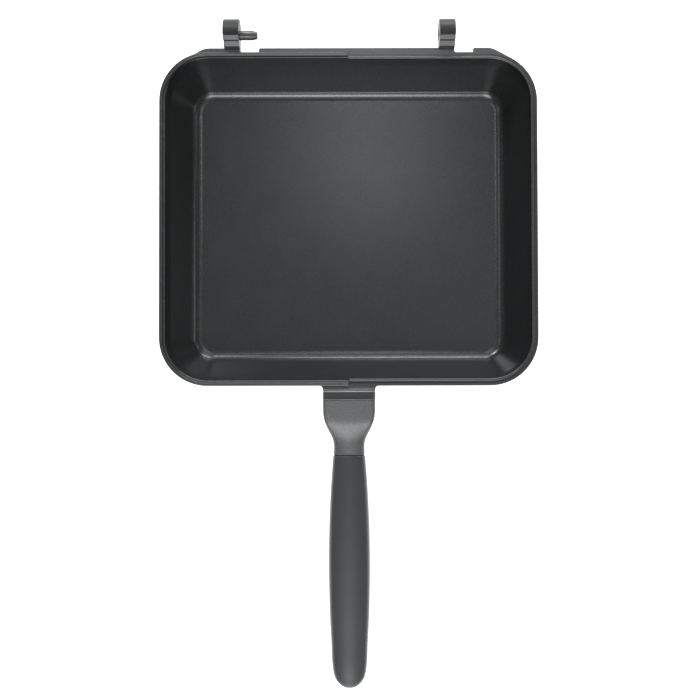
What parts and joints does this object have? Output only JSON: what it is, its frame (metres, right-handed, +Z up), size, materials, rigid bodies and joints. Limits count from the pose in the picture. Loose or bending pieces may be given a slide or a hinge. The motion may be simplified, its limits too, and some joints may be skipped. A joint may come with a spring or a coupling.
{
  "type": "hinged double pan half",
  "caption": "Square cast tray with stepped rim, half a pin hinge at the rear and half a handle at the front; two copies close into a flip pan.",
  "frame": {"origin": "middle of the tray on the underside of its base", "axes": "+Z up out of the tray, +Y towards the hinge, the handle runs towards -Y, +X to the right; the closing plane is at z = 42.5 mm"},
  "size_m": [0.281, 0.4958, 0.0543],
  "materials": {
    "nonstick_cast": "die-cast aluminium under a dark grey non-stick coating with a fine speckle, satin",
    "pin_steel": "turned steel, dark, semi-bright",
    "ferrule_paint": "die-cast aluminium under metallic grey paint",
    "screw_steel": "zinc-plated steel",
    "magnet_plating": "nickel-plated magnet",
    "soft_touch": "moulded plastic with a matt soft-touch coat"
  },
  "bodies": {
    "root": {"pan_body": "nonstick_cast", "hinge_pin": "pin_steel", "ferrule": "ferrule_paint", "ferrule_screws": "screw_steel", "latch_magnets": "magnet_plating", "tang": "screw_steel", "tang_pin": "screw_steel", "grip": "soft_touch", "grip_screw": "screw_steel"}
  },
  "joints": []
}
